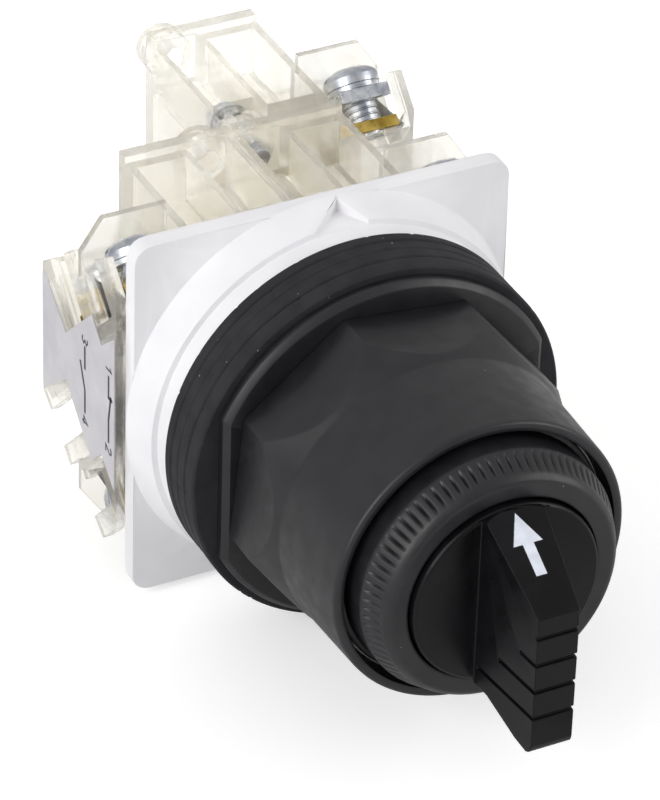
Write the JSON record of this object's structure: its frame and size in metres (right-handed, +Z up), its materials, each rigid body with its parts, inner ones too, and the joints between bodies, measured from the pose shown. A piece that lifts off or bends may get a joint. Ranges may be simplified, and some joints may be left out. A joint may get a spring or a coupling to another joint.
{
  "type": "selector switch",
  "caption": "Three-position rotary selector switch for a round panel hole, with ring nut, gaskets, lever knob with arrow and clear side-by-side and tandem contact blocks.",
  "frame": {"origin": "on the knob's axis, in the hub face that bears on the panel through the gaskets", "axes": "+X to the right seen from the front, +Y backwards along the knob's axis to the contact blocks, +Z up"},
  "size_m": [0.0441, 0.0958, 0.0436],
  "materials": {
    "white_moulding": "white moulded plastic, satin",
    "black_moulding": "black moulded plastic, satin",
    "knob_moulding": "black moulded plastic, polished tool",
    "gasket_rubber": "black rubber, matt",
    "clear_moulding": "clear polycarbonate, slightly yellow at its edges",
    "plunger_moulding": "natural acetal",
    "zinc_steel": "bright zinc plating",
    "spring_steel": "drawn spring wire",
    "brass": "stamped brass",
    "silvered_copper": "silvered copper",
    "arrow_white": "white inlay",
    "label_paper": "white label, satin"
  },
  "bodies": {
    "switch_body": {"mounting_body": "white_moulding", "back_cover": "white_moulding", "gasket_rear": "gasket_rubber", "gasket_middle": "gasket_rubber", "gasket_front": "gasket_rubber", "thrust_washer": "black_moulding", "ring_nut": "black_moulding", "bezel_ring": "black_moulding", "shaft_seal": "gasket_rubber", "detent_ball": "zinc_steel", "detent_spring": "spring_steel", "left_housing": "clear_moulding", "left_base": "clear_moulding", "left_return_spring": "spring_steel", "left_terminals": "brass", "left_clamps": "brass", "left_washers": "zinc_steel", "left_screws": "zinc_steel", "left_fixing_screws": "zinc_steel", "left_label": "label_paper", "right_housing": "clear_moulding", "right_base": "clear_moulding", "right_return_spring": "spring_steel", "right_terminals": "brass", "right_clamps": "zinc_steel", "right_washers": "zinc_steel", "right_screws": "zinc_steel", "right_fixing_screws": "zinc_steel", "rear_housing": "clear_moulding", "rear_base": "clear_moulding", "rear_return_spring": "spring_steel", "rear_terminals": "brass", "rear_clamps": "zinc_steel", "rear_washers": "zinc_steel", "rear_screws": "zinc_steel", "rear_fixing_screws": "zinc_steel"},
    "knob": {"knob": "knob_moulding", "arrow": "arrow_white", "cam": "plunger_moulding", "cam_screw": "zinc_steel"},
    "left_plunger": {"left_push_pin": "spring_steel", "left_plunger": "plunger_moulding", "left_nc_bridge": "silvered_copper", "left_no_bridge": "silvered_copper"},
    "right_plunger": {"right_push_pin": "spring_steel", "right_plunger": "plunger_moulding", "right_nc_bridge": "silvered_copper", "right_no_bridge": "silvered_copper", "rear_plunger": "plunger_moulding", "rear_nc_bridge": "silvered_copper", "rear_no_bridge": "silvered_copper"}
  },
  "joints": [
    {"name": "knob_turn", "type": "hinge", "parent": "switch_body", "child": "knob", "pos_m": [0, 0, 0], "axis": [0, -1, 0], "range_deg": [-45, 45]},
    {"name": "left_plunger_slide", "type": "slide", "parent": "switch_body", "child": "left_plunger", "axis": [0, 1, 0], "range_m": [-0.00151, 0.00151], "deforming": ["left_return_spring"]},
    {"name": "right_plunger_slide", "type": "slide", "parent": "switch_body", "child": "right_plunger", "axis": [0, 1, 0], "range_m": [-0.00151, 0.00151], "deforming": ["right_return_spring", "rear_return_spring"]}
  ],
  "couplings": [
    {"joint": "left_plunger_slide", "follows": "knob_turn", "m_per_rad": -0.0019099},
    {"joint": "right_plunger_slide", "follows": "knob_turn", "m_per_rad": 0.0019099}
  ]
}
